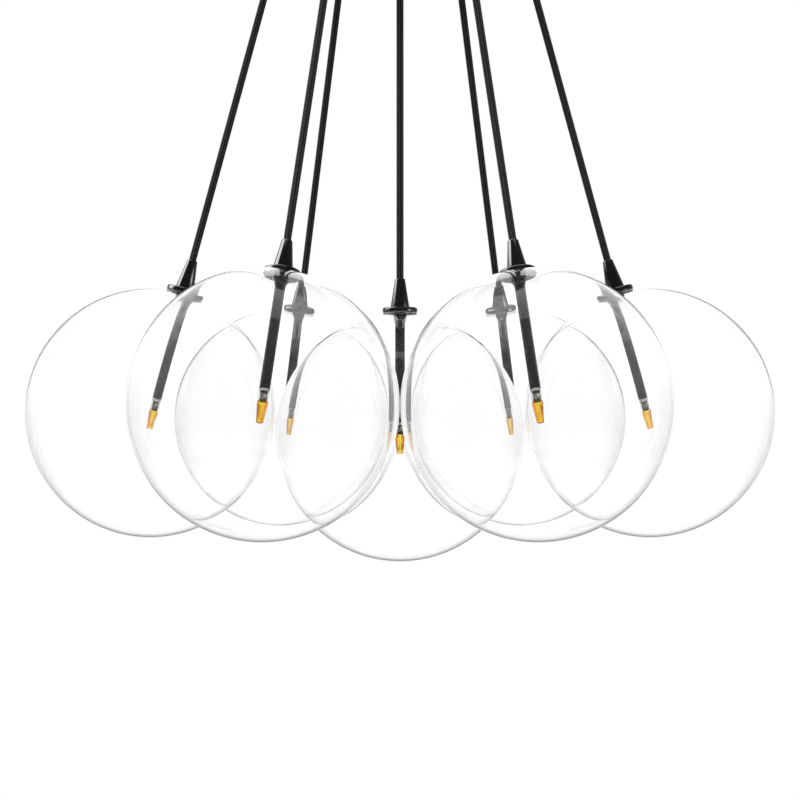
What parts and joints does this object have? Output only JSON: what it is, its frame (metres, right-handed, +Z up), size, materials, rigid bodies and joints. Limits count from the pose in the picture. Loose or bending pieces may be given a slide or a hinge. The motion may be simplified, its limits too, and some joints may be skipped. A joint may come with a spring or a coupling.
{
  "type": "cluster pendant chandelier",
  "caption": "Cluster chandelier of clear glass globes that touch one another, each on a black braided cord from one round canopy, with a small amber plug-in lamp on a stem.",
  "frame": {"origin": "middle of the bracket's top face, where it meets the ceiling", "axes": "+Z up into the ceiling, front towards -Y, +X to the right seen from the front"},
  "size_m": [0.7482, 0.6838, 0.639],
  "materials": {
    "clear_glass": "clear blown glass, fire-polished edge",
    "black_metal": "black, satin to semi-gloss",
    "braid": "black braided textile sleeve",
    "ceramic": "unglazed pale ceramic",
    "amber_lens": "amber lens under a clear collar",
    "zinc_steel": "zinc-plated sheet steel",
    "driver_case": "moulded white plastic",
    "terminal_plastic": "moulded translucent white plastic"
  },
  "bodies": {
    "canopy": {"canopy_cover": "black_metal", "ceiling_bracket": "zinc_steel", "led_driver": "driver_case", "terminal_block": "terminal_plastic", "cord_center": "braid"},
    "head_center": {"cap_center": "black_metal", "flange_center": "black_metal", "stem_center": "black_metal", "globe_center": "clear_glass", "clamp_center": "black_metal", "lampholder_center": "ceramic"},
    "bulb_center": {"lamp_center": "amber_lens"},
    "hanger_right": {"cord_right": "braid"},
    "head_right": {"cap_right": "black_metal", "flange_right": "black_metal", "stem_right": "black_metal", "globe_right": "clear_glass", "clamp_right": "black_metal", "lampholder_right": "ceramic"},
    "bulb_right": {"lamp_right": "amber_lens"},
    "hanger_back_right": {"cord_back_right": "braid"},
    "head_back_right": {"cap_back_right": "black_metal", "flange_back_right": "black_metal", "stem_back_right": "black_metal", "globe_back_right": "clear_glass", "clamp_back_right": "black_metal", "lampholder_back_right": "ceramic"},
    "bulb_back_right": {"lamp_back_right": "amber_lens"},
    "hanger_back_left": {"cord_back_left": "braid"},
    "head_back_left": {"cap_back_left": "black_metal", "flange_back_left": "black_metal", "stem_back_left": "black_metal", "globe_back_left": "clear_glass", "clamp_back_left": "black_metal", "lampholder_back_left": "ceramic"},
    "bulb_back_left": {"lamp_back_left": "amber_lens"},
    "hanger_left": {"cord_left": "braid"},
    "head_left": {"cap_left": "black_metal", "flange_left": "black_metal", "stem_left": "black_metal", "globe_left": "clear_glass", "clamp_left": "black_metal", "lampholder_left": "ceramic"},
    "bulb_left": {"lamp_left": "amber_lens"},
    "hanger_front_left": {"cord_front_left": "braid"},
    "head_front_left": {"cap_front_left": "black_metal", "flange_front_left": "black_metal", "stem_front_left": "black_metal", "globe_front_left": "clear_glass", "clamp_front_left": "black_metal", "lampholder_front_left": "ceramic"},
    "bulb_front_left": {"lamp_front_left": "amber_lens"},
    "hanger_front_right": {"cord_front_right": "braid"},
    "head_front_right": {"cap_front_right": "black_metal", "flange_front_right": "black_metal", "stem_front_right": "black_metal", "globe_front_right": "clear_glass", "clamp_front_right": "black_metal", "lampholder_front_right": "ceramic"},
    "bulb_front_right": {"lamp_front_right": "amber_lens"}
  },
  "joints": [
    {"name": "swing_right", "type": "hinge", "parent": "canopy", "child": "hanger_right", "pos_m": [0.12953, 0, -0.03855], "axis": [0, -1, 0], "range_deg": [0, 25]},
    {"name": "swing_back_right", "type": "hinge", "parent": "canopy", "child": "hanger_back_right", "pos_m": [0.06477, 0.11218, -0.03855], "axis": [0.866, -0.5, 0], "range_deg": [0, 25]},
    {"name": "swing_back_left", "type": "hinge", "parent": "canopy", "child": "hanger_back_left", "pos_m": [-0.06477, 0.11218, -0.03855], "axis": [0.866, 0.5, 0], "range_deg": [0, 25]},
    {"name": "swing_left", "type": "hinge", "parent": "canopy", "child": "hanger_left", "pos_m": [-0.12953, 0, -0.03855], "axis": [0, 1, 0], "range_deg": [0, 25]},
    {"name": "swing_front_left", "type": "hinge", "parent": "canopy", "child": "hanger_front_left", "pos_m": [-0.06477, -0.11218, -0.03855], "axis": [-0.866, 0.5, 0], "range_deg": [0, 25]},
    {"name": "swing_front_right", "type": "hinge", "parent": "canopy", "child": "hanger_front_right", "pos_m": [0.06477, -0.11218, -0.03855], "axis": [-0.866, -0.5, 0], "range_deg": [0, 25]},
    {"name": "twist_center", "type": "hinge", "parent": "canopy", "child": "head_center", "pos_m": [0, 0, -0.03855], "axis": [0, 0, 1], "range_deg": [-180, 180]},
    {"name": "twist_right", "type": "hinge", "parent": "hanger_right", "child": "head_right", "pos_m": [0.12953, 0, -0.03855], "axis": [-0.2588, 0, 0.9659], "range_deg": [-180, 180]},
    {"name": "twist_back_right", "type": "hinge", "parent": "hanger_back_right", "child": "head_back_right", "pos_m": [0.06477, 0.11218, -0.03855], "axis": [-0.1294, -0.2241, 0.9659], "range_deg": [-180, 180]},
    {"name": "twist_back_left", "type": "hinge", "parent": "hanger_back_left", "child": "head_back_left", "pos_m": [-0.06477, 0.11218, -0.03855], "axis": [0.1294, -0.2241, 0.9659], "range_deg": [-180, 180]},
    {"name": "twist_left", "type": "hinge", "parent": "hanger_left", "child": "head_left", "pos_m": [-0.12953, 0, -0.03855], "axis": [0.2588, 0, 0.9659], "range_deg": [-180, 180]},
    {"name": "twist_front_left", "type": "hinge", "parent": "hanger_front_left", "child": "head_front_left", "pos_m": [-0.06477, -0.11218, -0.03855], "axis": [0.1294, 0.2241, 0.9659], "range_deg": [-180, 180]},
    {"name": "twist_front_right", "type": "hinge", "parent": "hanger_front_right", "child": "head_front_right", "pos_m": [0.06477, -0.11218, -0.03855], "axis": [-0.1294, 0.2241, 0.9659], "range_deg": [-180, 180]},
    {"name": "pull_center", "type": "slide", "parent": "head_center", "child": "bulb_center", "axis": [0, 0, -1], "range_m": [0, 0.008]},
    {"name": "pull_right", "type": "slide", "parent": "head_right", "child": "bulb_right", "axis": [0.2588, 0, -0.9659], "range_m": [0, 0.008]},
    {"name": "pull_back_right", "type": "slide", "parent": "head_back_right", "child": "bulb_back_right", "axis": [0.1294, 0.2241, -0.9659], "range_m": [0, 0.008]},
    {"name": "pull_back_left", "type": "slide", "parent": "head_back_left", "child": "bulb_back_left", "axis": [-0.1294, 0.2241, -0.9659], "range_m": [0, 0.008]},
    {"name": "pull_left", "type": "slide", "parent": "head_left", "child": "bulb_left", "axis": [-0.2588, 0, -0.9659], "range_m": [0, 0.008]},
    {"name": "pull_front_left", "type": "slide", "parent": "head_front_left", "child": "bulb_front_left", "axis": [-0.1294, -0.2241, -0.9659], "range_m": [0, 0.008]},
    {"name": "pull_front_right", "type": "slide", "parent": "head_front_right", "child": "bulb_front_right", "axis": [0.1294, -0.2241, -0.9659], "range_m": [0, 0.008]}
  ]
}
